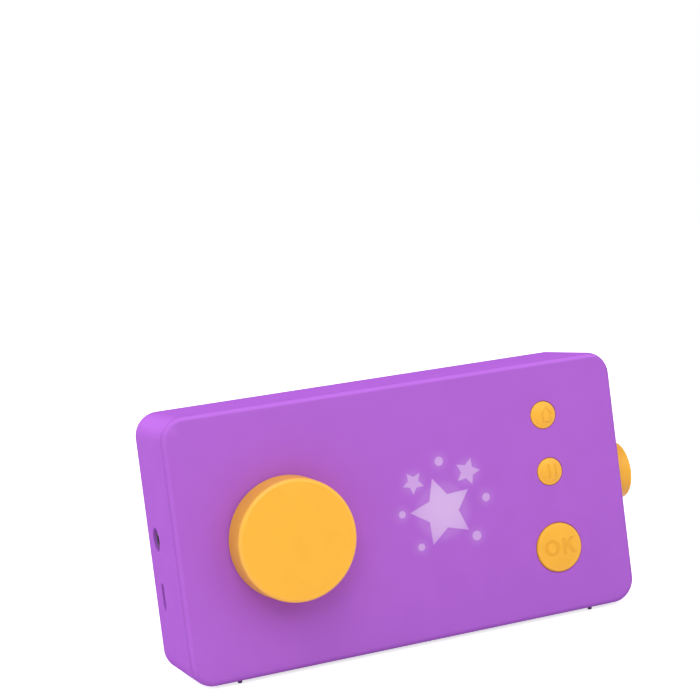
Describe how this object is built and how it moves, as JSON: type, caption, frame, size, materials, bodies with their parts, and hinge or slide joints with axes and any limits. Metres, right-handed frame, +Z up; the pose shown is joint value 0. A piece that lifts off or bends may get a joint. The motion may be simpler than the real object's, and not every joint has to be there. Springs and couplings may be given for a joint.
{
  "type": "audio story player",
  "caption": "Upright rounded audio story player with a large front selector knob, glowing round display, press buttons, side volume knob, and headphone and charging sockets.",
  "frame": {"origin": "middle of the standing area: mid-width and mid-depth of the casing, on the plane that the rubber feet stand on", "axes": "+X to the right of someone facing the front panel, +Y from the front to the back, +Z up"},
  "size_m": [0.1684, 0.0471, 0.0882],
  "materials": {
    "casing_plastic": "fine satin, moulded",
    "control_plastic": "fine satin, moulded",
    "foot_rubber": "matte",
    "screw_steel": "zinc plated",
    "sheet_steel": "satin",
    "control_metal": "nickel plated",
    "circuit_board": "solder mask, satin",
    "black_plastic": "matte",
    "connector_plastic": "matte",
    "clear_plastic": "clear",
    "screen_glass": "polished",
    "cable_film": "satin film",
    "plunger_plastic": "matte",
    "battery_foil": "satin foil",
    "foam": "open cell foam",
    "speaker_steel": "satin black",
    "magnet": "ground ferrite",
    "cone_paper": "pressed paper",
    "coil_copper": "wound wire",
    "wire_insulation": "satin"
  },
  "bodies": {
    "casing": {"amplifier_chip": "black_plastic", "battery_cell": "battery_foil", "battery_connector": "connector_plastic", "battery_foam": "foam", "battery_wires": "wire_insulation", "board_header": "black_plastic", "board_receptacle": "black_plastic", "card_holder": "sheet_steel", "charging_socket": "sheet_steel", "control_board": "circuit_board", "control_board_screws": "screw_steel", "cover_screws": "screw_steel", "display_cable": "cable_film", "display_frame": "connector_plastic", "display_lens": "clear_plastic", "display_screen": "screen_glass", "encoder_body": "black_plastic", "front_shell": "casing_plastic", "headphone_socket": "black_plastic", "home_switch": "sheet_steel", "main_board": "circuit_board", "main_board_screws": "screw_steel", "memory_card": "black_plastic", "ok_switch": "sheet_steel", "pause_switch": "sheet_steel", "processor_chip": "black_plastic", "rear_cover": "casing_plastic", "rubber_feet": "foot_rubber", "selector_nut": "control_metal", "selector_washer": "control_metal", "speaker_cone": "cone_paper", "speaker_connector": "connector_plastic", "speaker_frame": "speaker_steel", "speaker_gasket": "foam", "speaker_magnet": "magnet", "speaker_screws": "screw_steel", "speaker_wires": "wire_insulation", "voice_coil": "coil_copper", "volume_nut": "control_metal", "volume_potentiometer": "black_plastic", "volume_washer": "control_metal", "volume_wires": "wire_insulation"},
    "selector": {"selector_knob": "control_plastic", "encoder_shaft": "control_metal"},
    "volume": {"volume_knob": "control_plastic", "volume_shaft": "control_metal"},
    "home_key": {"home_button": "control_plastic", "home_plunger": "plunger_plastic"},
    "pause_key": {"pause_button": "control_plastic", "pause_plunger": "plunger_plastic"},
    "ok_key": {"ok_button": "control_plastic", "ok_plunger": "plunger_plastic"}
  },
  "joints": [
    {"name": "selector_turn", "type": "hinge", "parent": "casing", "child": "selector", "pos_m": [-0.0425, -0.018, 0.0443], "axis": [0, 1, 0], "continuous": true},
    {"name": "volume_turn", "type": "hinge", "parent": "casing", "child": "volume", "pos_m": [0.08, 0, 0.044], "axis": [-1, 0, 0], "range_deg": [0, 300]},
    {"name": "home_press", "type": "slide", "parent": "casing", "child": "home_key", "axis": [0, 1, 0], "range_m": [0, 0.0005], "stiffness_N_per_m": 900},
    {"name": "pause_press", "type": "slide", "parent": "casing", "child": "pause_key", "axis": [0, 1, 0], "range_m": [0, 0.0005], "stiffness_N_per_m": 900},
    {"name": "ok_press", "type": "slide", "parent": "casing", "child": "ok_key", "axis": [0, 1, 0], "range_m": [0, 0.0005], "stiffness_N_per_m": 900}
  ]
}
